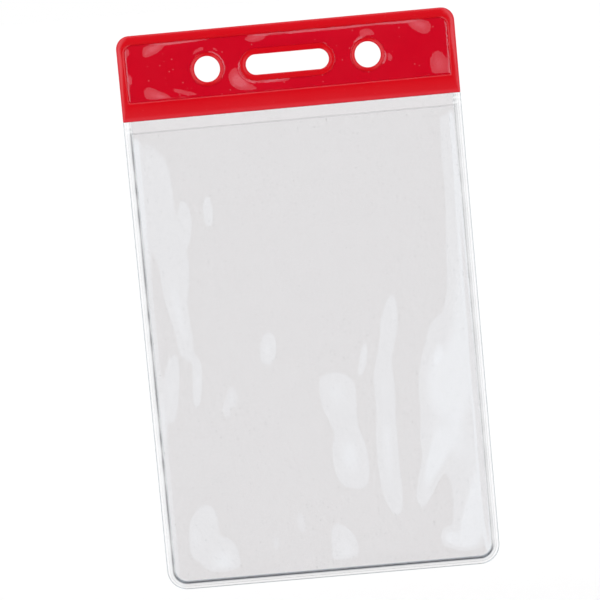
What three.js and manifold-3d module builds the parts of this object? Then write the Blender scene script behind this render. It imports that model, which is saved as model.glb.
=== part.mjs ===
// A vertical badge holder of soft clear vinyl with a coloured header bar, for a lanyard clip or a bead chain.
// Heated dies weld three films into it: a clear back sheet and a clear front sheet, both over the full height,
// and a coloured bar between them in the header. The front sheet is slit across, a little below the bar. The
// slit is the mouth, where a card goes in, and the strip of front sheet above it is a free lip. The holder
// folds across the lip, where only the back sheet joins the header to the pocket.
// Where a die has fused the plies they are one thinner solid, a seam, and each seam is a piece of its own.
//
// Millimetres. +Z is up the holder, +X is to its right seen from the front, and the front faces -Y.
// The origin is the middle of the strap slot's upper wall, which hangs on the clip's strap.
import * as THREE from "three";
import { mergeVertices } from "three/addons/utils/BufferGeometryUtils.js";
import Module from "manifold-3d";

// Outline.
const HOLDER_WIDTH = 66.8;
const POCKET_LENGTH = 91.9; // from the mouth down to the bottom edge
const TOP_CORNER_RADIUS = 2.6;
const BOTTOM_CORNER_RADIUS = 4.0;

// Films, and the plies that the dies have pressed together.
const BACK_FILM = 0.3;
const FRONT_FILM = 0.25;
const BAR_FILM = 0.2;
const POCKET_SEAM_THICKNESS = 0.42;
const HEADER_SEAM_THICKNESS = 0.55;
const BEAD_RISE = 0.06; // the rim squeezed up along a cut edge, on each face
const BEAD_WIDTH = 0.45;

// Header, from the top edge down: the top seam, the window that is left free, and the wide lower seam.
const TOP_SEAM = 1.9;
const WINDOW_HEIGHT = 11.3;
const LOWER_SEAM = 3.7;
const WINDOW_TOP_RADIUS = 1.6;
const WINDOW_LOWER_RADIUS = 0.5;
const SLOT_LENGTH = 16.4;
const SLOT_HEIGHT = 4.0;
const SLOT_DROP = 7.85; // from the top edge down to the line of the slot and the holes
const HOLE_DIAMETER = 5.1;
const HOLE_SPACING = 31.75;
const SLOT_SEAM_WIDTH = 1.15;
const HOLE_SEAM_WIDTH = 0.75;
const WINDOW_LIFT = 0.08; // the air between the bar and the free part of the front sheet over it

// The lip, from the bar's lower edge down to the slit.
const LIP_HEIGHT = 2.5;

// Pocket.
const SIDE_SEAM = 1.6;
const BOTTOM_SEAM = 1.6;
const POCKET_CORNER_RADIUS = 2.0;
const CARD_GAP = 0.9; // room between the sheets for a card of 0.76
const SHOULDER = 4.0; // the width over which the front sheet rises from its seams

const ARC_DIVISIONS = 6; // an arc gets twice as many sides as this
const SHOULDER_STEPS = 6;
const CUT_MARGIN = 1.0; // how far a cutting outline runs past what it cuts

// Places that follow from the sizes above.
const slotLine = -SLOT_HEIGHT / 2;
const topEdge = slotLine + SLOT_DROP;
const windowTop = topEdge - TOP_SEAM;
const windowLower = windowTop - WINDOW_HEIGHT;
const barEdge = windowLower - LOWER_SEAM;
const mouth = barEdge - LIP_HEIGHT;
const bottomEdge = mouth - POCKET_LENGTH;
const pocketFloor = bottomEdge + BOTTOM_SEAM;
const side = HOLDER_WIDTH / 2;
const innerSide = side - SIDE_SEAM;
const farOut = BACK_FILM + FRONT_FILM + BAR_FILM + CARD_GAP + CUT_MARGIN; // in Y, clear of every film

// The faces of a seam that fuses the back film with what lies in front of it. The back film's front face is
// at y = 0, and the die takes the same depth from each side.
function seamFaces(inFront, thickness) {
  const pressed = (BACK_FILM + inFront - thickness) / 2;
  return { front: pressed - inFront, back: BACK_FILM - pressed };
}
const headerSeam = seamFaces(BAR_FILM + FRONT_FILM, HEADER_SEAM_THICKNESS);
const pocketSeam = seamFaces(FRONT_FILM, POCKET_SEAM_THICKNESS);

const wasm = await Module();
wasm.setup();

const clearVinyl = new THREE.MeshStandardMaterial({
  color: 0xe6e7ea,
  roughness: 0.12,
  metalness: 0,
  transparent: true,
  opacity: 0.35,
});
const redVinyl = new THREE.MeshStandardMaterial({ color: 0xd0021f, roughness: 0.2, metalness: 0 });

// A closed geometry as a solid that can be joined and cut.
function solidOf(geometry) {
  geometry.deleteAttribute("normal");
  geometry.deleteAttribute("uv");
  const merged = mergeVertices(geometry, 1e-4);
  const mesh = new wasm.Mesh({
    numProp: 3,
    vertProperties: merged.attributes.position.array,
    triVerts: new Uint32Array(merged.index.array),
  });
  return new wasm.Manifold(mesh);
}

// A solid as a named piece.
function piece(name, solid, material) {
  const mesh = solid.getMesh();
  const geometry = new THREE.BufferGeometry();
  geometry.setAttribute("position", new THREE.BufferAttribute(mesh.vertProperties, 3));
  geometry.setIndex(new THREE.BufferAttribute(mesh.triVerts, 1));
  const made = new THREE.Mesh(geometry.toNonIndexed(), material);
  made.geometry.computeVertexNormals();
  made.name = name;
  return made;
}

// An outline in X and Z as a plate between two depths in Y.
function plate(outline, front, back) {
  const geometry = new THREE.ExtrudeGeometry(outline, {
    depth: back - front,
    bevelEnabled: false,
    curveSegments: ARC_DIVISIONS,
  });
  return solidOf(geometry.rotateX(Math.PI / 2).translate(0, back, 0));
}

// An upright rectangle with its own radius at the upper corners and at the lower ones. 0 leaves them square.
function panel(left, right, lower, upper, upperRadius, lowerRadius) {
  const shape = new THREE.Shape();
  shape.moveTo(left + lowerRadius, lower);
  shape.lineTo(right - lowerRadius, lower);
  if (lowerRadius) shape.absarc(right - lowerRadius, lower + lowerRadius, lowerRadius, -Math.PI / 2, 0);
  shape.lineTo(right, upper - upperRadius);
  if (upperRadius) shape.absarc(right - upperRadius, upper - upperRadius, upperRadius, 0, Math.PI / 2);
  shape.lineTo(left + upperRadius, upper);
  if (upperRadius) shape.absarc(left + upperRadius, upper - upperRadius, upperRadius, Math.PI / 2, Math.PI);
  shape.lineTo(left, lower + lowerRadius);
  if (lowerRadius) shape.absarc(left + lowerRadius, lower + lowerRadius, lowerRadius, Math.PI, Math.PI * 1.5);
  return shape;
}

// A lying outline with half-round ends. One as long as it is high is a circle.
function roundEnded(centre, length, height) {
  const reach = (length - height) / 2;
  const shape = new THREE.Shape();
  shape.absarc(centre + reach, slotLine, height / 2, -Math.PI / 2, Math.PI / 2);
  shape.absarc(centre - reach, slotLine, height / 2, Math.PI / 2, Math.PI * 1.5);
  return shape;
}

// The three openings on the slot line, each grown by the width of its own seam or left as punched.
const openings = [
  { seam: "slot_seam", centre: 0, length: SLOT_LENGTH, height: SLOT_HEIGHT, seamWidth: SLOT_SEAM_WIDTH },
  ...[-1, 1].map((way) => ({
    seam: way < 0 ? "left_hole_seam" : "right_hole_seam",
    centre: (way * HOLE_SPACING) / 2,
    length: HOLE_DIAMETER,
    height: HOLE_DIAMETER,
    seamWidth: HOLE_SEAM_WIDTH,
  })),
];

function openingOutline(opening, growth) {
  return roundEnded(opening.centre, opening.length + 2 * growth, opening.height + 2 * growth);
}

// An outline in X and Z as a solid that reaches past every film, to cut or keep with.
function throughAll(outline) {
  return plate(outline, -farOut, farOut);
}

// A rim of fused plies: a flat land between two outlines, with a bead along the outer one.
function rim(faces, outer, beadInner, inner) {
  const land = plate(outer, faces.front, faces.back);
  const bead = plate(outer, faces.front - BEAD_RISE, faces.back + BEAD_RISE).subtract(throughAll(beadInner));
  return land.add(bead).subtract(throughAll(inner));
}

// What lies of a solid in one rectangle of X and Z.
function within(solid, left, right, lower, upper) {
  return solid.intersect(throughAll(panel(left, right, lower, upper, 0, 0)));
}

function windowOutline() {
  return panel(-innerSide, innerSide, windowLower, windowTop, WINDOW_TOP_RADIUS, WINDOW_LOWER_RADIUS);
}

// The welded border of the bar: a thin seam round three sides and a wide one below the window.
function headerSeams() {
  const outer = panel(-side, side, barEdge, topEdge, TOP_CORNER_RADIUS, 0);
  const beadInner = panel(
    -side + BEAD_WIDTH,
    side - BEAD_WIDTH,
    barEdge + BEAD_WIDTH,
    topEdge - BEAD_WIDTH,
    TOP_CORNER_RADIUS - BEAD_WIDTH,
    0,
  );
  const border = rim(headerSeam, outer, beadInner, windowOutline());
  const shoulder = Math.min(topEdge - TOP_CORNER_RADIUS, windowTop - WINDOW_TOP_RADIUS);
  const foot = windowLower + WINDOW_LOWER_RADIUS;
  return [
    piece("header_top_seam", within(border, -side, side, shoulder, topEdge), redVinyl),
    piece("header_left_seam", within(border, -side, 0, foot, shoulder), redVinyl),
    piece("header_right_seam", within(border, 0, side, foot, shoulder), redVinyl),
    piece("header_lower_seam", within(border, -side, side, barEdge, foot), redVinyl),
  ];
}

// The fused ring round an opening, with a bead along the punched edge.
function openingSeam(opening) {
  const { front, back } = headerSeam;
  const land = plate(openingOutline(opening, opening.seamWidth), front, back);
  const bead = plate(openingOutline(opening, BEAD_WIDTH), front - BEAD_RISE, back + BEAD_RISE);
  return piece(opening.seam, land.add(bead).subtract(throughAll(openingOutline(opening, 0))), redVinyl);
}

// One film of the header inside its border, with room for the rings round the openings.
function headerFilm(name, front, back, material) {
  const outline = windowOutline();
  outline.holes = openings.map((opening) => openingOutline(opening, opening.seamWidth));
  return piece(name, plate(outline, front, back), material);
}

// One film between the bar and the mouth.
function lipFilm(name, front, back) {
  return piece(name, plate(panel(-side, side, mouth, barEdge, 0, 0), front, back), clearVinyl);
}

function pocketOutline() {
  return panel(-innerSide, innerSide, pocketFloor, mouth, 0, POCKET_CORNER_RADIUS);
}

function pocketBackSheet() {
  return piece("pocket_back_sheet", plate(pocketOutline(), 0, BACK_FILM), clearVinyl);
}

// The grid lines of the front sheet along one direction: close together where it rises from a seam.
function gridLines(low, high, risesAtHigh) {
  const lines = [];
  for (let step = 0; step <= SHOULDER_STEPS; step++) lines.push(low + (SHOULDER * step) / SHOULDER_STEPS);
  if (!risesAtHigh) return [...lines, high];
  for (let step = SHOULDER_STEPS; step >= 0; step--) lines.push(high - (SHOULDER * step) / SHOULDER_STEPS);
  return lines;
}

// How far the front sheet stands off the back sheet: not at all at the seams, the card gap further in.
function rise(x, z) {
  const ease = (distance) => THREE.MathUtils.smoothstep(distance, 0, SHOULDER);
  return CARD_GAP * ease(innerSide - Math.abs(x)) * ease(z - pocketFloor);
}

// The crowned front sheet: two like grids of points a film apart, joined round their edge, cut to the pocket.
function pocketFrontSheet() {
  const across = gridLines(-innerSide, innerSide, true);
  const up = gridLines(pocketFloor, mouth, false);
  const lastColumn = across.length - 1;
  const lastRow = up.length - 1;
  const points = [];
  for (const film of [FRONT_FILM, 0]) {
    for (const z of up) for (const x of across) points.push(x, -rise(x, z) - film, z);
  }
  const outer = (row, column) => row * across.length + column;
  const inner = (row, column) => outer(row, column) + up.length * across.length;
  const faces = [];
  const quad = (a, b, c, d) => faces.push(a, b, c, a, c, d);
  const wall = (from, to) => quad(outer(...to), outer(...from), inner(...from), inner(...to));
  for (let row = 0; row < lastRow; row++) {
    for (let column = 0; column < lastColumn; column++) {
      const round = [[row, column], [row, column + 1], [row + 1, column + 1], [row + 1, column]];
      quad(...round.map((corner) => outer(...corner)));
      quad(...round.reverse().map((corner) => inner(...corner)));
    }
    wall([row, lastColumn], [row + 1, lastColumn]);
    wall([row + 1, 0], [row, 0]);
  }
  for (let column = 0; column < lastColumn; column++) {
    wall([0, column], [0, column + 1]);
    wall([lastRow, column + 1], [lastRow, column]);
  }
  const geometry = new THREE.BufferGeometry();
  geometry.setAttribute("position", new THREE.Float32BufferAttribute(points, 3));
  geometry.setIndex(faces);
  return piece("pocket_front_sheet", solidOf(geometry).intersect(throughAll(pocketOutline())), clearVinyl);
}

// The fused rim round the pocket: two sides and the bottom, open at the mouth.
function pocketSeams() {
  const outer = panel(-side, side, bottomEdge, mouth, 0, BOTTOM_CORNER_RADIUS);
  const beadInner = panel(
    -side + BEAD_WIDTH,
    side - BEAD_WIDTH,
    bottomEdge + BEAD_WIDTH,
    mouth + CUT_MARGIN,
    0,
    BOTTOM_CORNER_RADIUS - BEAD_WIDTH,
  );
  const inner = panel(-innerSide, innerSide, pocketFloor, mouth + CUT_MARGIN, 0, POCKET_CORNER_RADIUS);
  const border = rim(pocketSeam, outer, beadInner, inner);
  const foot = bottomEdge + Math.max(BOTTOM_CORNER_RADIUS, BOTTOM_SEAM + POCKET_CORNER_RADIUS);
  return [
    piece("left_side_seam", within(border, -side, 0, foot, mouth), clearVinyl),
    piece("right_side_seam", within(border, 0, side, foot, mouth), clearVinyl),
    piece("bottom_seam", within(border, -side, side, bottomEdge, foot), clearVinyl),
  ];
}

const coverBack = -BAR_FILM - WINDOW_LIFT;

const holder = new THREE.Group();
holder.add(
  headerFilm("header_front_sheet", coverBack - FRONT_FILM, coverBack, clearVinyl),
  headerFilm("colour_bar", -BAR_FILM, 0, redVinyl),
  headerFilm("header_back_sheet", 0, BACK_FILM, clearVinyl),
  ...headerSeams(),
  ...openings.map(openingSeam),
  lipFilm("mouth_lip", -FRONT_FILM, 0),
  lipFilm("fold_band", 0, BACK_FILM),
  pocketBackSheet(),
  pocketFrontSheet(),
  ...pocketSeams(),
);

export default holder;
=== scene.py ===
"""A vertical badge holder of clear vinyl with a red header bar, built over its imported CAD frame."""

import math

import bpy
import numpy as np
from mathutils import Matrix, Vector
from mathutils.geometry import delaunay_2d_cdt


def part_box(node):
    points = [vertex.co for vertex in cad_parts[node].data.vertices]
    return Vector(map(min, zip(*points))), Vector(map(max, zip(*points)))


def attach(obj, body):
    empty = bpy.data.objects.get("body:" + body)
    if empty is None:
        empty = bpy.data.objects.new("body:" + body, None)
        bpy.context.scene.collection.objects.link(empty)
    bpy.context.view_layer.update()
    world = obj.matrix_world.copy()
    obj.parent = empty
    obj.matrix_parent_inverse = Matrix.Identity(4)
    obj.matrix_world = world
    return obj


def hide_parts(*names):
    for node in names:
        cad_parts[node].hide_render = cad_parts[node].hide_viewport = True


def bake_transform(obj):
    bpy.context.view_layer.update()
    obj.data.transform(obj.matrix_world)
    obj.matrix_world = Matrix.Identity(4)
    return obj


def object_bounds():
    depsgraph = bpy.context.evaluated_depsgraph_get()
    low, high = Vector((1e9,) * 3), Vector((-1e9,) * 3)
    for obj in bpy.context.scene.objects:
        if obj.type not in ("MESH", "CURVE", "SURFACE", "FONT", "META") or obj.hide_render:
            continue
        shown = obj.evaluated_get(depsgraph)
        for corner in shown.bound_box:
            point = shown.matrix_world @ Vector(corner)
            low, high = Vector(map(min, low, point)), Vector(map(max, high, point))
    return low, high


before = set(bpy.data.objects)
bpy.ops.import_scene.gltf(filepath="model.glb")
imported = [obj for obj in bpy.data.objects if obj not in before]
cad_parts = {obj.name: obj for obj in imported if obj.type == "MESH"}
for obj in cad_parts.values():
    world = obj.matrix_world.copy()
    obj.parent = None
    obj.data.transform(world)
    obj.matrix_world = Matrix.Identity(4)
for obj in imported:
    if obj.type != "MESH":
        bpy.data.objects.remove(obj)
cad_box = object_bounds()

MM = 0.001  # every size below is in millimetres


def in_mm(corner):
    """A corner of one of the frame's boxes, in millimetres."""
    return [round(c / MM, 3) for c in corner]


# --- The clear vinyl and the back sheet --------------------------------------------------------------
# One film of calendered soft vinyl runs down the back of the holder. Its edges are fused into the seams.
# Across the lip nothing stiffens it; the film is built lying flat there.
half_width = in_mm(cad_box[1])[0]
bottom_edge = in_mm(cad_box[0])[2]
mouth, bar_edge = (in_mm(corner)[2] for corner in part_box("mouth_lip"))
side_seam = 1.6
bottom_corner = 4.0
back_thickness = 0.3
fit_gap = 0.02  # the air left between pieces that touch
vinyl_index = 1.53  # how strongly soft vinyl bends light
pocket_side = half_width - side_seam - fit_gap
pocket_floor = bottom_edge + side_seam + fit_gap
pocket_corner = bottom_corner - side_seam - fit_gap

cloud_scale = 90  # how many times each texture repeats in a metre
grain_scale = 2600
speck_scale = 1200
speck_core, speck_rim = 0.08, 0.22  # a speck is solid within the first and gone beyond the second
speck_gaps = 0.86  # the share of the places for a speck that stay empty


def link(nt, source, target):
    nt.links.new(source, target)


def put(nt, value, socket):
    """Link a socket into another one, or set a plain value on it."""
    if isinstance(value, bpy.types.NodeSocket):
        link(nt, value, socket)
    else:
        socket.default_value = value


def calculate(nt, operation, *values):
    """A Math node whose inputs are sockets or numbers, and its output."""
    node = nt.nodes.new("ShaderNodeMath")
    node.operation = operation
    for value, socket in zip(values, node.inputs):
        put(nt, value, socket)
    return node.outputs["Value"]


def layered(nt, factor, under, over):
    """A Mix Shader node: the second shader over the first, by a factor."""
    node = nt.nodes.new("ShaderNodeMixShader")
    for source, socket in zip((factor, under, over), node.inputs):
        link(nt, source, socket)
    return node.outputs["Shader"]


def new_material(name):
    """An empty node material, its node tree and its output node."""
    made = bpy.data.materials.new(name)
    made.use_nodes = True
    nt = made.node_tree
    nt.nodes.clear()
    return made, nt, nt.nodes.new("ShaderNodeOutputMaterial")


def film_surface_group():
    """Node group: the dust, haze and fine unevenness that every film of soft vinyl has."""
    group = bpy.data.node_groups.new("film_surface", "ShaderNodeTree")
    face = group.interface
    for label in ("Haze", "Dust"):
        face.new_socket(label, in_out="INPUT", socket_type="NodeSocketFloat")
    for label in ("Cloud", "Specks", "Height"):
        face.new_socket(label, in_out="OUTPUT", socket_type="NodeSocketFloat")
    nodes = group.nodes
    inside = nodes.new("NodeGroupInput")
    outside = nodes.new("NodeGroupOutput")
    place = nodes.new("ShaderNodeTexCoord")
    cloud = nodes.new("ShaderNodeTexNoise")
    cloud.inputs["Scale"].default_value = cloud_scale
    cloud.inputs["Detail"].default_value = 3
    grain = nodes.new("ShaderNodeTexNoise")
    grain.inputs["Scale"].default_value = grain_scale
    grain.inputs["Detail"].default_value = 1
    spots = nodes.new("ShaderNodeTexVoronoi")
    spots.inputs["Scale"].default_value = speck_scale
    spots.inputs["Randomness"].default_value = 1
    for texture in (cloud, grain, spots):
        link(group, place.outputs["Object"], texture.inputs["Vector"])
    near = nodes.new("ShaderNodeMapRange")
    near.inputs["From Min"].default_value = speck_core
    near.inputs["From Max"].default_value = speck_rim
    near.inputs["To Min"].default_value = 1
    near.inputs["To Max"].default_value = 0
    link(group, spots.outputs["Distance"], near.inputs["Value"])
    draw = nodes.new("ShaderNodeSeparateColor")
    link(group, spots.outputs["Color"], draw.inputs["Color"])
    picked = calculate(group, "GREATER_THAN", draw.outputs["Red"], speck_gaps)
    kept = calculate(group, "MULTIPLY", near.outputs["Result"], picked)
    specks = calculate(group, "MULTIPLY", kept, inside.outputs["Dust"])
    haze = calculate(group, "MULTIPLY", cloud.outputs["Fac"], inside.outputs["Haze"])
    link(group, haze, outside.inputs["Cloud"])
    link(group, specks, outside.inputs["Specks"])
    link(group, grain.outputs["Fac"], outside.inputs["Height"])
    return group


film_surface = film_surface_group()


def place_film_surface(nt, haze, dust):
    node = nt.nodes.new("ShaderNodeGroup")
    node.node_tree = film_surface
    node.inputs["Haze"].default_value = haze
    node.inputs["Dust"].default_value = dust
    return node


def clear_vinyl_material(name, tint, haze, dust):
    """Clear film: what is behind shows through with that tint, and the surface mirrors as vinyl does."""
    made, nt, out = new_material(name)
    surface = place_film_surface(nt, haze, dust)
    through = nt.nodes.new("ShaderNodeBsdfTransparent")
    through.inputs["Color"].default_value = (*tint, 1)
    gloss = nt.nodes.new("ShaderNodeBsdfPrincipled")
    gloss.inputs["Base Color"].default_value = (1, 1, 1, 1)
    gloss.inputs["Metallic"].default_value = 1
    gloss.inputs["Roughness"].default_value = 0.03
    milky = nt.nodes.new("ShaderNodeBsdfDiffuse")
    milky.inputs["Color"].default_value = (0.5, 0.49, 0.5, 1)
    side = nt.nodes.new("ShaderNodeNewGeometry")
    from_inside = 1 / vinyl_index - vinyl_index  # what the index changes by on a face seen from within
    index = calculate(nt, "MULTIPLY_ADD", side.outputs["Backfacing"], from_inside, vinyl_index)
    mirror = nt.nodes.new("ShaderNodeFresnel")
    link(nt, index, mirror.inputs["IOR"])
    dull = calculate(nt, "ADD", surface.outputs["Cloud"], surface.outputs["Specks"])
    body = layered(nt, dull, through.outputs["BSDF"], milky.outputs["BSDF"])
    film_shader = layered(nt, mirror.outputs["Fac"], body, gloss.outputs["BSDF"])
    link(nt, film_shader, out.inputs["Surface"])
    return made


clear_vinyl = clear_vinyl_material("clear_vinyl", (0.968, 0.964, 0.967), haze=0.006, dust=0.15)


def arc(centre_x, centre_z, radius, start, end, steps=10):
    """Points on an arc, from one angle to another in degrees."""
    angles = np.radians(np.linspace(start, end, steps))
    return [(centre_x + radius * math.cos(a), centre_z + radius * math.sin(a)) for a in angles]


def closer_points(loop, spacing):
    """The same closed outline with no two points further apart than the spacing."""
    dense = []
    for (ax, az), (bx, bz) in zip(loop, loop[1:] + loop[:1]):
        count = max(1, math.ceil(math.hypot(bx - ax, bz - az) / spacing))
        dense += [(ax + (bx - ax) * i / count, az + (bz - az) * i / count) for i in range(count)]
    return dense


def inside_loops(points, loops):
    """For each point, whether it lies inside an odd number of the closed loops."""
    odd = np.zeros(len(points), bool)
    for loop in loops:
        ring = np.array(loop)
        for (ax, az), (bx, bz) in zip(ring, np.roll(ring, -1, axis=0)):
            if az == bz:
                continue
            level = (points[:, 1] >= min(az, bz)) & (points[:, 1] < max(az, bz))
            odd ^= level & (points[:, 0] < ax + (points[:, 1] - az) * (bx - ax) / (bz - az))
    return odd


def closed_mesh(name, points, faces, material, sharp=40):
    """An object from points in millimetres and faces, smooth except at edges sharper than that angle."""
    mesh = bpy.data.meshes.new(name)
    mesh.from_pydata([tuple(MM * c for c in p) for p in points], [], faces)
    mesh.update()
    mesh.shade_smooth()
    mesh.set_sharp_from_angle(angle=math.radians(sharp))
    made = bpy.data.objects.new(name, mesh)
    bpy.context.scene.collection.objects.link(made)
    mesh.materials.append(material)
    return made


def lattice(points, spacing):
    """Rows of points in equal triangles over the box that those points fill."""
    low, high = np.min(points, axis=0), np.max(points, axis=0)
    along = np.arange(low[0], high[0], spacing)
    upward = np.arange(low[1], high[1], spacing * math.sqrt(3) / 2)
    columns, rows = np.meshgrid(along, upward)
    columns[::2] += spacing / 2
    return np.stack([columns.ravel(), rows.ravel()], axis=1)


def flat_skin(outline, holes, spacing):
    """Triangles over an outline with holes: the points in X and Z, and the corners, all turned alike."""
    loops = [closer_points(loop, spacing) for loop in [outline, *holes]]
    points, edges = [], []
    for loop in loops:
        first = len(points)
        points += loop
        edges += [(first + i, first + (i + 1) % len(loop)) for i in range(len(loop))]
    between_edges = lattice(points, spacing)
    points += [tuple(p) for p in between_edges[inside_loops(between_edges, loops)]]
    merging = spacing / 100  # points closer than this become one
    flat, _, faces, *_ = delaunay_2d_cdt([Vector(p) for p in points], edges, [], 0, merging)
    flat = np.array([tuple(p) for p in flat])
    corners = np.array(faces)
    corners = corners[inside_loops(flat[corners].mean(axis=1), loops)]
    a, b, c = flat[corners[:, 0]], flat[corners[:, 1]], flat[corners[:, 2]]
    turn = (b[:, 0] - a[:, 0]) * (c[:, 1] - a[:, 1]) - (b[:, 1] - a[:, 1]) * (c[:, 0] - a[:, 0])
    corners[turn < 0] = corners[turn < 0][:, ::-1]
    used, corners = np.unique(corners, return_inverse=True)
    return flat[used], [list(map(int, f)) for f in corners.reshape(-1, 3)]


def film(name, outline, holes, spacing, front, thickness, material):
    """A film with that outline and those holes in X and Z, whose front face lies at y = front(x, z)."""
    flat, skin = flat_skin(outline, holes, spacing)
    depth = front(flat[:, 0], flat[:, 1])
    count = len(flat)
    solid = [(x, y, z) for (x, z), y in zip(flat, depth)]
    solid += [(x, y + thickness, z) for (x, z), y in zip(flat, depth)]
    ways = {(f[i], f[(i + 1) % 3]) for f in skin for i in range(3)}
    walls = [[b, a, a + count, b + count] for a, b in sorted(ways) if (b, a) not in ways]
    back = [[v + count for v in f[::-1]] for f in skin]
    return closed_mesh(name, solid, skin + back + walls, material)


def ease(value):
    """0 up to 0, 1 from 1, and smooth between."""
    t = np.clip(value, 0, 1)
    return t * t * (3 - 2 * t)


def folds(x, z, shapes, sink=7):
    """How far the film's soft folds bring it forward. Each has its middle, its half width, its half length,
    its lean in degrees, its bend, and the angle that its steep flank tilts by: to the left, or to the
    right if negative. Behind the flank it sinks back gently, over that many half widths."""
    height = np.zeros_like(x)
    steepest = 0.75  # the rate at which the flank's curve rises in its middle, to 1 in all
    for middle_x, middle_z, half_wide, half_long, lean, bend, tilt in shapes:
        slant = math.radians(lean)
        along = ((x - middle_x) * math.sin(slant) + (z - middle_z) * math.cos(slant)) / half_long
        across = ((x - middle_x) * math.cos(slant) - (z - middle_z) * math.sin(slant)) / half_wide
        across = (across - bend * along**2) * math.copysign(1, tilt)
        flank = np.clip(across, -1, 1)
        rise = math.tan(math.radians(abs(tilt))) * half_wide / steepest
        shape = 0.5 + (3 * flank - flank**3) / 4 - ease((across - 1) / sink)
        height += rise * shape * (1 - np.clip(along, -1, 1) ** 2) ** 2
    return height


def ripple(x, z, wave, height):
    """The slight unevenness of soft film, with waves of about that length. Their lengths are in odd
    proportions, so that they never line up."""
    bent = np.sin(z / (1.7 * wave) + 1.3) + 0.6 * np.sin(x / (2.9 * wave))
    first = np.sin(x / (0.31 * wave) + 1.1 * bent) * np.sin(z / (0.53 * wave) + 0.8 * np.sin(x / wave))
    second = np.sin(x / (0.19 * wave) - z / (0.42 * wave) + bent)
    return height * (first + 0.5 * second)


def inset(x, z):
    """How far a point is inside the pocket's seams."""
    return np.minimum(pocket_side - np.abs(x), z - pocket_floor)


def pocket_outline(top):
    """The outline of a film that fits between the pocket's seams, up to that height."""
    corner_x, corner_z = pocket_side - pocket_corner, pocket_floor + pocket_corner
    return [
        (pocket_side, top),
        (-pocket_side, top),
        *arc(-corner_x, corner_z, pocket_corner, 180, 270),
        *arc(corner_x, corner_z, pocket_corner, 270, 360),
    ]


back_folds = [
    (-17.0, -66.5, 1.6, 3.4, 30, 0, 5.5),
    (-18.5, -70.5, 1.2, 2.6, -20, 0, 5),
    (-5.7, -94.2, 1.3, 4.6, -8, 0.5, 6),
    (-11.0, -97.4, 0.9, 2.8, 20, 0, 6),
    (24.4, -63.0, 1.6, 5.0, 20, 0, -4),
]
back_spacing = 0.6  # the film's mesh has no longer edges than about this
back_wave, pocket_wave_height = 9, 0.006
back_seam_run, back_mouth_run = 3, 4  # how far from the seams and from the mouth it is free


def back_face(x, z):
    free = ease(inset(x, z) / back_seam_run) * ease((mouth - z) / back_mouth_run)
    return -(folds(x, z, back_folds) + ripple(x, z, back_wave, pocket_wave_height)) * free


back_outline = pocket_outline(bar_edge - fit_gap)
back_sheet = film("back_sheet", back_outline, [], back_spacing, back_face, back_thickness, clear_vinyl)
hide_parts("fold_band", "pocket_back_sheet")
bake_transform(back_sheet)


# --- The pocket's front sheet ------------------------------------------------------------------------
# The same clear film, a little thinner. It is free along its top edge, the mouth, and it has buckled into
# long soft ridges where the seams hold it.
front_thickness = 0.25
front_spacing = 0.5
lip_lap = 0.28  # how far the pocket's front film runs up behind the lip
front_stand = 0.04  # how far off the back film it lies along the seams
front_bulge = 0.06  # and how much further forward it lies inside them
front_wave = 7
front_seam_run, front_floor_run, front_mouth_run = 1.0, 2.6, 2.2  # how far from each it is free
front_folds = [
    (-26.8, -35.0, 5.8, 46.0, -6, 0.2, 3.4),
    (-25.9, -52.0, 1.8, 13.5, -8, 0, 2.6),
    (-22.5, -30.6, 1.9, 7.4, 3, 0, 2.6),
    (-18.2, -30.2, 1.9, 7.6, 1, 0, 4.6),
    (-29.2, -65.4, 2.2, 12.0, 6, 0, 4.2),
    (-23.7, -64.4, 1.4, 8.6, 8, 0, 4.6),
    (-8.9, -57.8, 2.6, 6.6, 14, 0, 5.4),
    (4.0, -68.4, 5.2, 9.4, -4, 0, 5.4),
    (5.0, -82.6, 5.3, 13.4, -2, 0, 5.6),
    (9.7, -61.4, 1.2, 6.4, 14, 0, 5.6),
    (13.4, -71.6, 3.4, 49.0, 3.5, 2.3, 6.0),
    (2.3, -99.4, 4.6, 12.6, -5, -1.0, 7.6),
    (20.2, -87.0, 2.5, 12.0, 26, 0.2, -4.8),
    (24.4, -67.0, 5.2, 22.0, 2, -0.4, -3.7),
    (29.2, -62.0, 3.2, 36.0, 2, -0.6, -2.2),
    (28.8, -96.5, 3.2, 17.0, 20, 0, -4.8),
    (23.6, -99.4, 1.9, 2.8, 0, 0, -4.2),
    (30.2, -30.0, 3.2, 56.0, -1, 0, -2.8),
    (-23.6, -97.4, 5.6, 18.0, -10, 0, 3.8),
    (-27.4, -95.6, 1.4, 6.0, 8, 0, 2.4),
    (-21.0, -102.0, 4.2, 7.0, -20, 0, 3.0),
]


def front_face(x, z):
    free = ease(inset(x, z) / front_seam_run) * ease((z - pocket_floor) / front_floor_run)
    below_mouth = ease((mouth - z) / front_mouth_run)
    lift = front_bulge + folds(x, z, front_folds) + ripple(x, z, front_wave, pocket_wave_height)
    return -front_thickness - fit_gap - front_stand - lift * free * below_mouth


front_outline = pocket_outline(mouth + lip_lap)
front_sheet = film(
    "pocket_front_film", front_outline, [], front_spacing, front_face, front_thickness, clear_vinyl
)
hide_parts("pocket_front_sheet")
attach(front_sheet, "pocket")


# --- The lip -----------------------------------------------------------------------------------------
# The strip of front film left between the bar and the slit. It is fused to the bar's lower seam, and its
# free edge hangs a little forward. It is milkier than the rest of the film, and lets a little more through.
lip_stand, lip_hang = 0.05, 0.33


def lip_face(x, z):
    hang = np.clip((bar_edge - z) / (bar_edge - mouth), 0, 1)
    return -front_thickness - lip_stand - lip_hang * hang


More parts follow.
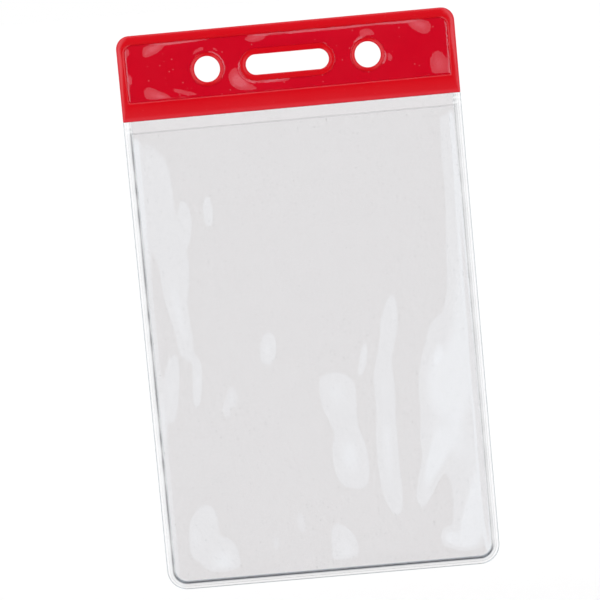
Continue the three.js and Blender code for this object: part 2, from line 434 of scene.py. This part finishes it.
lip_outline = [
    (pocket_side, mouth),
    (pocket_side, bar_edge - fit_gap),
    (-pocket_side, bar_edge - fit_gap),
    (-pocket_side, mouth),
]
lip_vinyl = clear_vinyl_material("lip_vinyl", (0.99, 0.982, 0.985), haze=0.05, dust=0.15)
lip = film("front_lip", lip_outline, [], front_spacing, lip_face, front_thickness, lip_vinyl)
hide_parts("mouth_lip")
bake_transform(lip)


# --- The pocket's seams ------------------------------------------------------------------------------
# Where the dies fused the two films into one clear solid, thinner than both. It has a soft bead along the
# trimmed edge, fine grooves left by the die, and at its inner side a sharp step. Lines of painted shade run
# along the edge, the grooves and the step, dark where the fused film would throw the light aside. It runs
# on up beside the lip to the colour bar.
seam_front, seam_back = -0.185, 0.235
seam_bead = 0.06
mark_steepness = 1.6  # a line keeps its full strength over the middle three eighths of its width
# Each line of painted shade along the seam: its distance inside the trimmed edge, its half width, and its
# strength on the left, along the bottom and on the right, with how patchy it is.
seam_shade_lines = [
    (0.0, 0.28, 0.22, 0.32, 0.24, 0.2),
    (0.60, 0.15, 0.14, 0.36, 0.26, 0.3),
    (0.97, 0.12, 0.00, 0.05, 0.40, 0.2),
    (1.30, 0.24, 0.74, 1.00, 0.00, 0.35),
    (1.45, 0.13, 0.00, 0.00, 0.50, 0.2),
]
# The seam's front face: each bead or groove has its distance inside the edge, its width and its height.
seam_swells = [(0.18, 0.12, seam_bead), (0.6, 0.06, -0.05), (1.05, 0.15, seam_bead), (1.3, 0.07, -0.07)]
front_reaches = [0.06, 0.14, 0.22, 0.3, 0.38, 0.45, 0.52, 0.6, 0.68, 0.76, 0.85, 0.95, 1.05]
front_reaches += [1.12, 1.2, 1.3, 1.4, 1.48, 1.54]
patch_length, patch_drift = 1.3, 4.1  # how quickly the lines' patches follow each other, and how unevenly
dash_rate = 7  # how fast the dashes beside the lip follow each other, in radians per millimetre
side_steps, floor_steps, corner_steps = 190, 120, 24
grain_height = 0.02  # how deep the surface's fine unevenness is


def line_strength(marks, reach, x, z):
    """How strongly a band's painted lines of shade and sheen show that far inside its outer outline."""
    strength = 0
    for distance, half_wide, strength_at in marks:
        share = mark_steepness * (1 - abs(reach - distance) / half_wide)
        strength += min(1, max(0, share)) * strength_at(x, z)
    return min(1, strength)


def rim(name, outer, inner, section, material, closed, marks=(), sharp=50):
    """A band between two matched outlines. Each point of the section is a share of the way from the outer
    outline to the inner one, a distance added to it, and a depth. Marks are painted lines along the band:
    painted shade on the clear seam, painted sheen on the red border. Each has its distance from the outer
    outline, its half width and its strength at a place, and they go into the mesh's shade attribute."""
    points, painted_light = [], []
    for (ox, oz), (ix, iz) in zip(outer, inner):
        width = math.hypot(ix - ox, iz - oz)
        for share, more, y in section:
            way = share + more / width
            points.append((ox + (ix - ox) * way, y, oz + (iz - oz) * way))
            painted_light.append(line_strength(marks, way * width, ox, oz))
    size, count = len(section), len(outer)
    faces = []
    for i in range(count if closed else count - 1):
        here, there = i * size, (i + 1) % count * size
        for j in range(size):
            k = (j + 1) % size
            faces.append([here + j, here + k, there + k, there + j])
    if not closed:
        faces += [[size - 1 - j for j in range(size)], [(count - 1) * size + j for j in range(size)]]
    made = closed_mesh(name, points, faces, material, sharp)
    made.data.attributes.new("shade", "FLOAT", "POINT").data.foreach_set("value", painted_light)
    return made


def add_grain(nt, surface, shader, strength):
    """The film surface's fine unevenness, as a bump on that shader."""
    bump = nt.nodes.new("ShaderNodeBump")
    bump.inputs["Strength"].default_value = strength
    bump.inputs["Distance"].default_value = grain_height * MM
    link(nt, surface.outputs["Height"], bump.inputs["Height"])
    link(nt, bump.outputs["Normal"], shader.inputs["Normal"])


def clear_seam_material():
    """Fused clear vinyl: glassy plastic, with painted shade where the die's sharp steps throw light aside.
    """
    made, nt, out = new_material("clear_seam")
    surface = place_film_surface(nt, haze=0.02, dust=0.1)
    glass = nt.nodes.new("ShaderNodeBsdfPrincipled")
    glass.inputs["Roughness"].default_value = 0.08
    glass.inputs["IOR"].default_value = vinyl_index
    glass.inputs["Transmission Weight"].default_value = 1
    # painted shade: where the mesh's shade attribute is marked, the ramp darkens the glass to near black
    painted_shade = nt.nodes.new("ShaderNodeAttribute")
    painted_shade.attribute_name = "shade"
    tone = nt.nodes.new("ShaderNodeValToRGB")
    tone.color_ramp.elements[0].color = (0.985, 0.98, 0.985, 1)
    tone.color_ramp.elements[1].color = (0.02, 0.022, 0.035, 1)
    link(nt, painted_shade.outputs["Fac"], tone.inputs["Fac"])
    link(nt, tone.outputs["Color"], glass.inputs["Base Color"])
    add_grain(nt, surface, glass, strength=0.1)
    link(nt, glass.outputs["BSDF"], out.inputs["Surface"])
    return made


def pocket_edge(reach):
    """The open line round the pocket at that distance inside its edge, from the bar down and up again."""
    radius = bottom_corner - reach
    side = half_width - reach
    heights = np.linspace(bar_edge - fit_gap, bottom_edge + bottom_corner, side_steps)
    flats = np.linspace(-half_width + bottom_corner, half_width - bottom_corner, floor_steps)
    centre_x, centre_z = half_width - bottom_corner, bottom_edge + bottom_corner
    return [
        *[(-side, z) for z in heights[:-1]],
        *arc(-centre_x, centre_z, radius, 180, 270, corner_steps),
        *[(x, bottom_edge + reach) for x in flats[1:-1]],
        *arc(centre_x, centre_z, radius, 270, 360, corner_steps),
        *[(side, z) for z in heights[-2::-1]],
    ]


def by_side(left, bottom, right, patchy):
    """How strong a line of painted shade is at a place on the seam, from its strength on each side. Beside
    the lip, where the film has crumpled, it breaks up into short dashes."""

    def strength(x, z):
        low = ease((bottom_edge + bottom_corner + 1 - z) / bottom_corner)
        side = left if x < 0 else right
        patches = math.sin(z / patch_length + 2 * math.sin(z / patch_drift) + x)
        broken = 1 - patchy * (0.5 + 0.5 * patches)
        if z > mouth:
            broken *= 0.3 + 0.9 * max(0, math.sin(dash_rate * z + 3 * side))
        return float(low * bottom + (1 - low) * side * broken)

    return strength


def seam_depth(reach):
    """The depth of the seam's front face that far inside the trimmed edge."""
    swell = sum(height * math.exp(-(((reach - at) / wide) ** 2)) for at, wide, height in seam_swells)
    return seam_front - swell


pocket_section = [
    (0, 0.0, seam_front + 0.1),
    *[(0, reach, seam_depth(reach)) for reach in front_reaches],
    (1, 0.0, seam_front),
    (1, 0.0, seam_back - 0.02),
    (1, -0.2, seam_back),
    (0, 0.4, seam_back),
    (0, 0.2, seam_back + seam_bead),
    (0, 0.05, seam_back + 0.04),
    (0, 0.0, seam_back - 0.1),
]
pocket_seam = rim(
    "pocket_seam",
    pocket_edge(0),
    pocket_edge(side_seam),
    pocket_section,
    clear_seam_material(),
    closed=False,
    marks=[(distance, half_wide, by_side(*strengths)) for distance, half_wide, *strengths in seam_shade_lines],
)
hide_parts("left_side_seam", "right_side_seam", "bottom_seam")
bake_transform(pocket_seam)


# --- The colour bar ----------------------------------------------------------------------------------
# An opaque red film between the two clear ones. It is free inside its welded border, and its face shows
# through the clear film with the dust and mottling that were shut in with it.
slot_line = -2.0
slot_length, slot_height = 16.4, 4.0
hole_diameter, hole_spacing = 5.1, 31.75
slot_ring, hole_ring = 1.15, 0.75
top_edge = in_mm(cad_box[1])[2]
top_seam = 1.9
window_side = half_width - side_seam
window_top, window_lower = top_edge - top_seam, in_mm(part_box("colour_bar")[0])[2]
window_lower_corner, window_top_corner = 0.5, 1.6
bar_thickness = 0.2
bar_spacing = 0.8
weld_lap = 0.1  # how far the bar runs on into the welds round it
# Each opening: the node of its seam, its middle, its length and height, and its welded ring's width.
openings = [
    ("slot_seam", 0, slot_length, slot_height, slot_ring),
    ("left_hole_seam", -hole_spacing / 2, hole_diameter, hole_diameter, hole_ring),
    ("right_hole_seam", hole_spacing / 2, hole_diameter, hole_diameter, hole_ring),
]


def round_ended(centre, length, height, steps=24):
    """A lying outline with half-round ends, or a circle if it is as long as it is high."""
    reach = (length - height) / 2
    right = arc(centre + reach, slot_line, height / 2, -90, 90, steps)
    left = arc(centre - reach, slot_line, height / 2, 90, 270, steps)
    if reach:
        return right + left
    return right[:-1] + left[:-1]


def panel(left, right, lower, upper, lower_radius, upper_radius, steps=12):
    """A closed upright rectangle with round corners, from the lower left corner round to the right."""
    return [
        *arc(left + lower_radius, lower + lower_radius, lower_radius, 180, 270, steps),
        *arc(right - lower_radius, lower + lower_radius, lower_radius, 270, 360, steps),
        *arc(right - upper_radius, upper - upper_radius, upper_radius, 0, 90, steps),
        *arc(left + upper_radius, upper - upper_radius, upper_radius, 90, 180, steps),
    ]


def ring_outlines(clear):
    """The outlines of the welded rings, that far clear of them."""
    return [
        round_ended(centre, length + 2 * (ring + clear), height + 2 * (ring + clear))
        for _, centre, length, height, ring in openings
    ]


def window_outline(clear):
    """The outline of the window that the welded border leaves, that far clear of it."""
    side, lower, upper = window_side - clear, window_lower + clear, window_top - clear
    return panel(-side, side, lower, upper, window_lower_corner, window_top_corner)


def between(nt, kind, factor, first, second):
    """A Mix node of numbers or colours, whose inputs are sockets or values, and its output."""
    node = nt.nodes.new("ShaderNodeMix")
    node.data_type = kind
    link(nt, factor, node.inputs["Factor"])
    put(nt, first, node.inputs["A"])
    put(nt, second, node.inputs["B"])
    return node.outputs["Result"]


def red_vinyl_material(name, colour, dust, cloud, roughness, shine):
    """Opaque red vinyl, mottled a little, with pale dust, and a paler painted sheen where the mesh marks
    it.
    """
    made, nt, out = new_material(name)
    surface = place_film_surface(nt, cloud, dust)
    body = nt.nodes.new("ShaderNodeBsdfPrincipled")
    body.inputs["Roughness"].default_value = roughness
    body.inputs["IOR"].default_value = vinyl_index
    body.inputs["Specular IOR Level"].default_value = shine
    dirt = calculate(nt, "ADD", surface.outputs["Cloud"], surface.outputs["Specks"])
    dusty = between(nt, "RGBA", dirt, (*colour, 1), (0.85, 0.45, 0.46, 1))
    # painted sheen: where the mesh's shade attribute is marked, the red is painted paler
    edge = nt.nodes.new("ShaderNodeAttribute")
    edge.attribute_name = "shade"
    with_sheen = between(nt, "RGBA", edge.outputs["Fac"], dusty, (0.80, 0.085, 0.11, 1))
    link(nt, with_sheen, body.inputs["Base Color"])
    add_grain(nt, surface, body, strength=0.15)
    link(nt, body.outputs["BSDF"], out.inputs["Surface"])
    return made


def bar_face(x, z):
    return np.full_like(x, -bar_thickness - fit_gap)


bar_red = red_vinyl_material(
    "bar_red", (0.645, 0.0006, 0.0155), dust=0.24, cloud=0.016, roughness=0.4, shine=0.0
)
bar_outline, bar_holes = window_outline(-weld_lap), ring_outlines(-weld_lap)
bar = film("red_bar", bar_outline, bar_holes, bar_spacing, bar_face, bar_thickness, bar_red)
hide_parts("colour_bar")
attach(bar, "header")


# --- The header's clear films ------------------------------------------------------------------------
# The front film lies over the bar as a low blister: it is fused all round the window and round each
# opening, and it wrinkles between them. The back film lies flat behind the bar.
header_folds = [
    (-26.4, 2.4, 3.0, 2.1, -12, 0, 5.2),
    (-26.0, -5.9, 3.8, 2.4, 18, 0, 4.8),
    (-16.4, 2.1, 1.2, 3.2, 60, 0.3, 7.0),
    (-10.1, -3.6, 2.5, 3.0, 0, 0.3, 5.4),
    (-9.0, -5.5, 3.2, 2.1, 10, 0, 5.2),
    (-5.8, 3.3, 3.4, 1.7, 0, 0, 5.6),
    (16.2, 2.5, 2.4, 2.4, 0, 0, -5.2),
    (20.0, -3.4, 0.9, 1.6, 30, 0, -5.0),
    (26.6, 2.3, 3.1, 2.7, 15, 0, -4.8),
    (29.6, -4.8, 2.3, 4.4, -15, 0, -4.8),
    (-31.2, -2.8, 0.6, 2.0, 0, 0, 4.0),
    (-31.2, 2.6, 0.6, 1.4, 0, 0, 4.0),
]
header_spacing = 0.25
header_sink = 5  # these wrinkles sink back sooner than the pocket's folds
header_front = -bar_thickness - front_thickness - 2 * fit_gap
blister_lift, blister_run = 0.03, 0.25  # how far the blister rises, and how far inside its weld it has
ring_lift_share = 0.6  # how much of the rise is lost at the rings
header_wave, header_wave_height = 3, 0.003
header_free_run = 0.5  # how far inside its welds it is free to wrinkle


def header_face(x, z):
    from_border = np.minimum(window_side - np.abs(x), np.minimum(window_top - z, z - window_lower))
    from_ring = np.full_like(x, window_side)
    for _, centre, length, height, ring in openings:
        reach = (length - height) / 2
        along = np.maximum(np.abs(x - centre) - reach, 0)
        from_ring = np.minimum(from_ring, np.hypot(along, z - slot_line) - height / 2 - ring)
    by_ring = 1 - ring_lift_share + ring_lift_share * ease(from_ring / blister_run)
    free = ease(np.minimum(from_border, from_ring) / header_free_run)
    wrinkles = folds(x, z, header_folds, header_sink) + ripple(x, z, header_wave, header_wave_height)
    return header_front - blister_lift * ease(from_border / blister_run) * by_ring - wrinkles * free


def header_back_face(x, z):
    return np.full_like(x, fit_gap)


header_vinyl = clear_vinyl_material("header_vinyl", (0.995, 0.995, 0.995), haze=0.0, dust=0.02)
window, rings = window_outline(fit_gap), ring_outlines(fit_gap)
header_film = film(
    "header_front_film", window, rings, header_spacing, header_face, front_thickness, header_vinyl
)
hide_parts("header_front_sheet")
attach(header_film, "header")
back_film_thickness = back_thickness - fit_gap
header_back = film(
    "header_back_film", window, rings, bar_spacing, header_back_face, back_film_thickness, clear_vinyl
)
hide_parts("header_back_sheet")
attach(header_back, "header")


# --- The header's red seams --------------------------------------------------------------------------
# All three films fused into one solid, red through the clear face. The border is a rounded bead on three
# sides and a wide band below the window. A thinner bead rings each opening.
red_front, red_back = -0.35, 0.2
lower_corner, top_corner = 0.15, 2.6
box_corner_steps = 14
box_wall_steps = (64, 12)  # for the long walls and the short ones
# The border's painted sheen: towards its trimmed edges the red is painted paler, for the light that the
# clear face scatters and mirrors there.
sheen_run = 3  # how far from the lower and the top edge their own paleness reaches
sheen_reach = 1.3  # and how far in from the trimmed edge the border is pale
side_sheen, lower_sheen, top_sheen = 0.20, 0.29, 0.05
# Its faint pale mottling is partly the vinyl's own and partly painted sheen, raised to make up for the
# glossy border's weaker highlights.
seam_red = red_vinyl_material(
    "seam_red", (0.60, 0.0003, 0.006), dust=0.03, cloud=0.01, roughness=0.12, shine=0.5
)


def matched_box(left, right, lower, upper, lower_radius, upper_radius):
    """A closed outline with the same count of points on each side and corner, whatever its size."""
    corners = panel(left, right, lower, upper, lower_radius, upper_radius, box_corner_steps)
    made = []
    for side in range(4):
        corner = corners[side * box_corner_steps : (side + 1) * box_corner_steps]
        (ax, az), (bx, bz) = corner[-1], corners[(side + 1) % 4 * box_corner_steps]
        shares = np.linspace(0, 1, box_wall_steps[side % 2])[1:-1]
        made += corner + [(ax + (bx - ax) * t, az + (bz - az) * t) for t in shares]
    return made


def sheen_strength(x, z):
    """The painted sheen towards the outer edge: strongest along the bar's lower edge, weakest on top."""
    low = ease((bar_edge + sheen_run - z) / sheen_run)
    high = ease((z - top_edge + sheen_run) / sheen_run)
    return float(side_sheen + (lower_sheen - side_sheen) * low + (top_sheen - side_sheen) * high)


border_outer = matched_box(-half_width, half_width, bar_edge, top_edge, lower_corner, top_corner)
border_inner = matched_box(
    -window_side, window_side, window_lower, window_top, window_lower_corner, window_top_corner
)
border_section = [
    (0, 0.0, red_front + 0.2),
    (0, 0.05, red_front + 0.08),
    (0, 0.12, red_front + 0.02),
    (0, 0.25, red_front - 0.03),
    (0, 0.5, red_front - 0.08),
    (0, 0.8, red_front - 0.115),
    (0, 1.05, red_front - 0.13),
    (1, -0.5, red_front - 0.13),
    (1, -0.3, red_front - 0.115),
    (1, -0.15, red_front - 0.07),
    (1, -0.06, red_front),
    (1, 0.0, red_front + 0.06),
    (1, 0.0, red_back),
    (0, 0.4, red_back),
    (0, 0.15, red_back + 0.04),
    (0, 0.0, red_back - 0.08),
]
border = rim(
    "header_seam",
    border_outer,
    border_inner,
    border_section,
    seam_red,
    closed=True,
    marks=[(0.0, sheen_reach, sheen_strength)],
)
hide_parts("header_top_seam", "header_left_seam", "header_right_seam", "header_lower_seam")
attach(border, "header")

ring_section = [
    (1, 0.0, red_back - 0.05),
    (1, -0.2, red_back + 0.03),
    (0, 0.0, red_back),
    (0, 0.0, red_front),
    (0, 0.1, red_front - 0.02),
    (0, 0.25, red_front),
    (1, -0.38, red_front - 0.05),
    (1, -0.2, red_front - 0.08),
    (1, -0.05, red_front - 0.02),
    (1, 0.0, red_front + 0.12),
]
for node, centre, length, height, ring in openings:
    outer = round_ended(centre, length + 2 * ring, height + 2 * ring)
    inner = round_ended(centre, length, height)
    name = node.replace("_seam", "_ring")
    made = rim(name, outer, inner, ring_section, seam_red, closed=True)
    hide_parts(node)
    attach(made, "header")


# --- The studio --------------------------------------------------------------------------------------
# A white tent, lit from all round but for a tall dark gap in front, where the camera stands. Film that
# lies flat mirrors the gap, and film that tilts mirrors the lit walls. The floor is plain and pale.
tent_light = 1.5
tent_rim_light = 0.70  # next to the gap
gap_light = 0.005
backdrop_light = 1.0
far_gloss = 0.5  # what the gloss mirrors of the tent further round
cool = (0.72, 0.89, 1.0)  # its walls look a little blue in the gloss
gap_x, gap_z = -0.027, 0.05  # the gap's middle, as a part of a unit step from the holder to it
gap_half_width, gap_half_height = 0.127, 0.4  # in the same unit
gap_power = 4.0  # this makes the gap a rectangle with round corners
# Where each stretch of the tent starts and where it is complete, in how far it is from the gap's middle:
# 1 is the gap's edge. The back wall is where a unit step from the holder gets to along Y.
gap_edge = (0.92, 1.08)
bright_wall = (2.5, 12.0)
far_wall = (60.0, 400.0)
back_wall = (-0.3, 0.1)
world = bpy.data.worlds.new("tent")
bpy.context.scene.world = world
world.use_nodes = True
sky = world.node_tree
sky.nodes.clear()


def sky_step(value, low, high):
    """0 below low, 1 above high, smooth between."""
    node = sky.nodes.new("ShaderNodeMapRange")
    node.interpolation_type = "SMOOTHSTEP"
    link(sky, value, node.inputs["Value"])
    node.inputs["From Min"].default_value = low
    node.inputs["From Max"].default_value = high
    return node.outputs["Result"]


way = sky.nodes.new("ShaderNodeTexCoord")
parts = sky.nodes.new("ShaderNodeSeparateXYZ")
link(sky, way.outputs["Generated"], parts.inputs["Vector"])
beside_gap = calculate(sky, "SUBTRACT", parts.outputs["X"], gap_x)
over_gap = calculate(sky, "SUBTRACT", parts.outputs["Z"], gap_z)
across = calculate(sky, "ABSOLUTE", calculate(sky, "DIVIDE", beside_gap, gap_half_width))
upward = calculate(sky, "MAXIMUM", calculate(sky, "DIVIDE", over_gap, gap_half_height), 0.0)
across_power = calculate(sky, "POWER", across, gap_power)
upward_power = calculate(sky, "POWER", upward, gap_power)
from_gap = calculate(sky, "ADD", across_power, upward_power)
to_back = sky_step(parts.outputs["Y"], *back_wall)
rim_part = calculate(sky, "MULTIPLY", sky_step(from_gap, *gap_edge), tent_rim_light - gap_light)
far_part = calculate(sky, "MULTIPLY", sky_step(from_gap, *bright_wall), tent_light - tent_rim_light)
front_light = calculate(sky, "ADD", calculate(sky, "ADD", rim_part, far_part), gap_light)
tent = between(sky, "FLOAT", to_back, front_light, backdrop_light)

seen = sky.nodes.new("ShaderNodeLightPath")
not_through = calculate(sky, "SUBTRACT", 1.0, seen.outputs["Is Transmission Ray"])
mirrored = calculate(sky, "MULTIPLY", seen.outputs["Is Glossy Ray"], not_through)
round_about = calculate(sky, "MAXIMUM", sky_step(from_gap, *far_wall), to_back)
gloss_light = between(sky, "FLOAT", round_about, front_light, far_gloss)
plain_light = between(sky, "FLOAT", seen.outputs["Is Camera Ray"], tent, backdrop_light)
glow = sky.nodes.new("ShaderNodeBackground")
link(sky, between(sky, "RGBA", mirrored, (1, 1, 1, 1), (*cool, 1)), glow.inputs["Color"])
link(sky, between(sky, "FLOAT", mirrored, plain_light, gloss_light), glow.inputs["Strength"])
sky_out = sky.nodes.new("ShaderNodeOutputWorld")
link(sky, glow.outputs["Background"], sky_out.inputs["Surface"])

floor_drop = 20.0
floor_half = 12000.0
floor_z = bottom_edge - floor_drop
floor_paint, floor_nodes, floor_out = new_material("pale_floor")
paint = floor_nodes.nodes.new("ShaderNodeBsdfPrincipled")
paint.inputs["Roughness"].default_value = 0.9
paint.inputs["Specular IOR Level"].default_value = 0.0
mottle = floor_nodes.nodes.new("ShaderNodeTexNoise")
mottle.inputs["Scale"].default_value = 3
shade = floor_nodes.nodes.new("ShaderNodeMapRange")
shade.inputs["To Min"].default_value = 0.862
shade.inputs["To Max"].default_value = 0.877
link(floor_nodes, mottle.outputs["Fac"], shade.inputs["Value"])
link(floor_nodes, shade.outputs["Result"], paint.inputs["Base Color"])
link(floor_nodes, paint.outputs["BSDF"], floor_out.inputs["Surface"])
floor_corners = [(-1, -1), (1, -1), (1, 1), (-1, 1)]
floor_points = [(x * floor_half, y * floor_half, floor_z) for x, y in floor_corners]
floor = closed_mesh("floor", floor_points, [[0, 1, 2, 3]], floor_paint)
floor.visible_glossy = False

# The camera stands 0.6 m in front of the holder, a little above its top edge, and looks down along it. It
# is tilted sideways, so that the holder hangs askew in its view.
camera_place = Vector((16.1, -594.2, 16.7)) * MM
camera_turn, camera_rise, camera_roll = (math.radians(a) for a in (-1.73, -6.33, -5.3))
camera_lens = 180.7
sensor_width = 36
ahead = Vector(
    (
        math.sin(camera_turn) * math.cos(camera_rise),
        math.cos(camera_turn) * math.cos(camera_rise),
        math.sin(camera_rise),
    )
)
level_right = Vector((math.cos(camera_turn), -math.sin(camera_turn), 0))
level_up = level_right.cross(ahead)
right = level_right * math.cos(camera_roll) + level_up * math.sin(camera_roll)
up = level_up * math.cos(camera_roll) - level_right * math.sin(camera_roll)
lens = bpy.data.cameras.new("camera")
lens.lens = camera_lens
lens.sensor_width = sensor_width
lens.clip_end = 100
camera = bpy.data.objects.new("camera", lens)
facing = Matrix((right, up, -ahead)).transposed().to_4x4()
camera.matrix_world = Matrix.Translation(camera_place) @ facing
bpy.context.scene.collection.objects.link(camera)
bpy.context.scene.camera = camera
bpy.context.scene.view_settings.view_transform = "Standard"
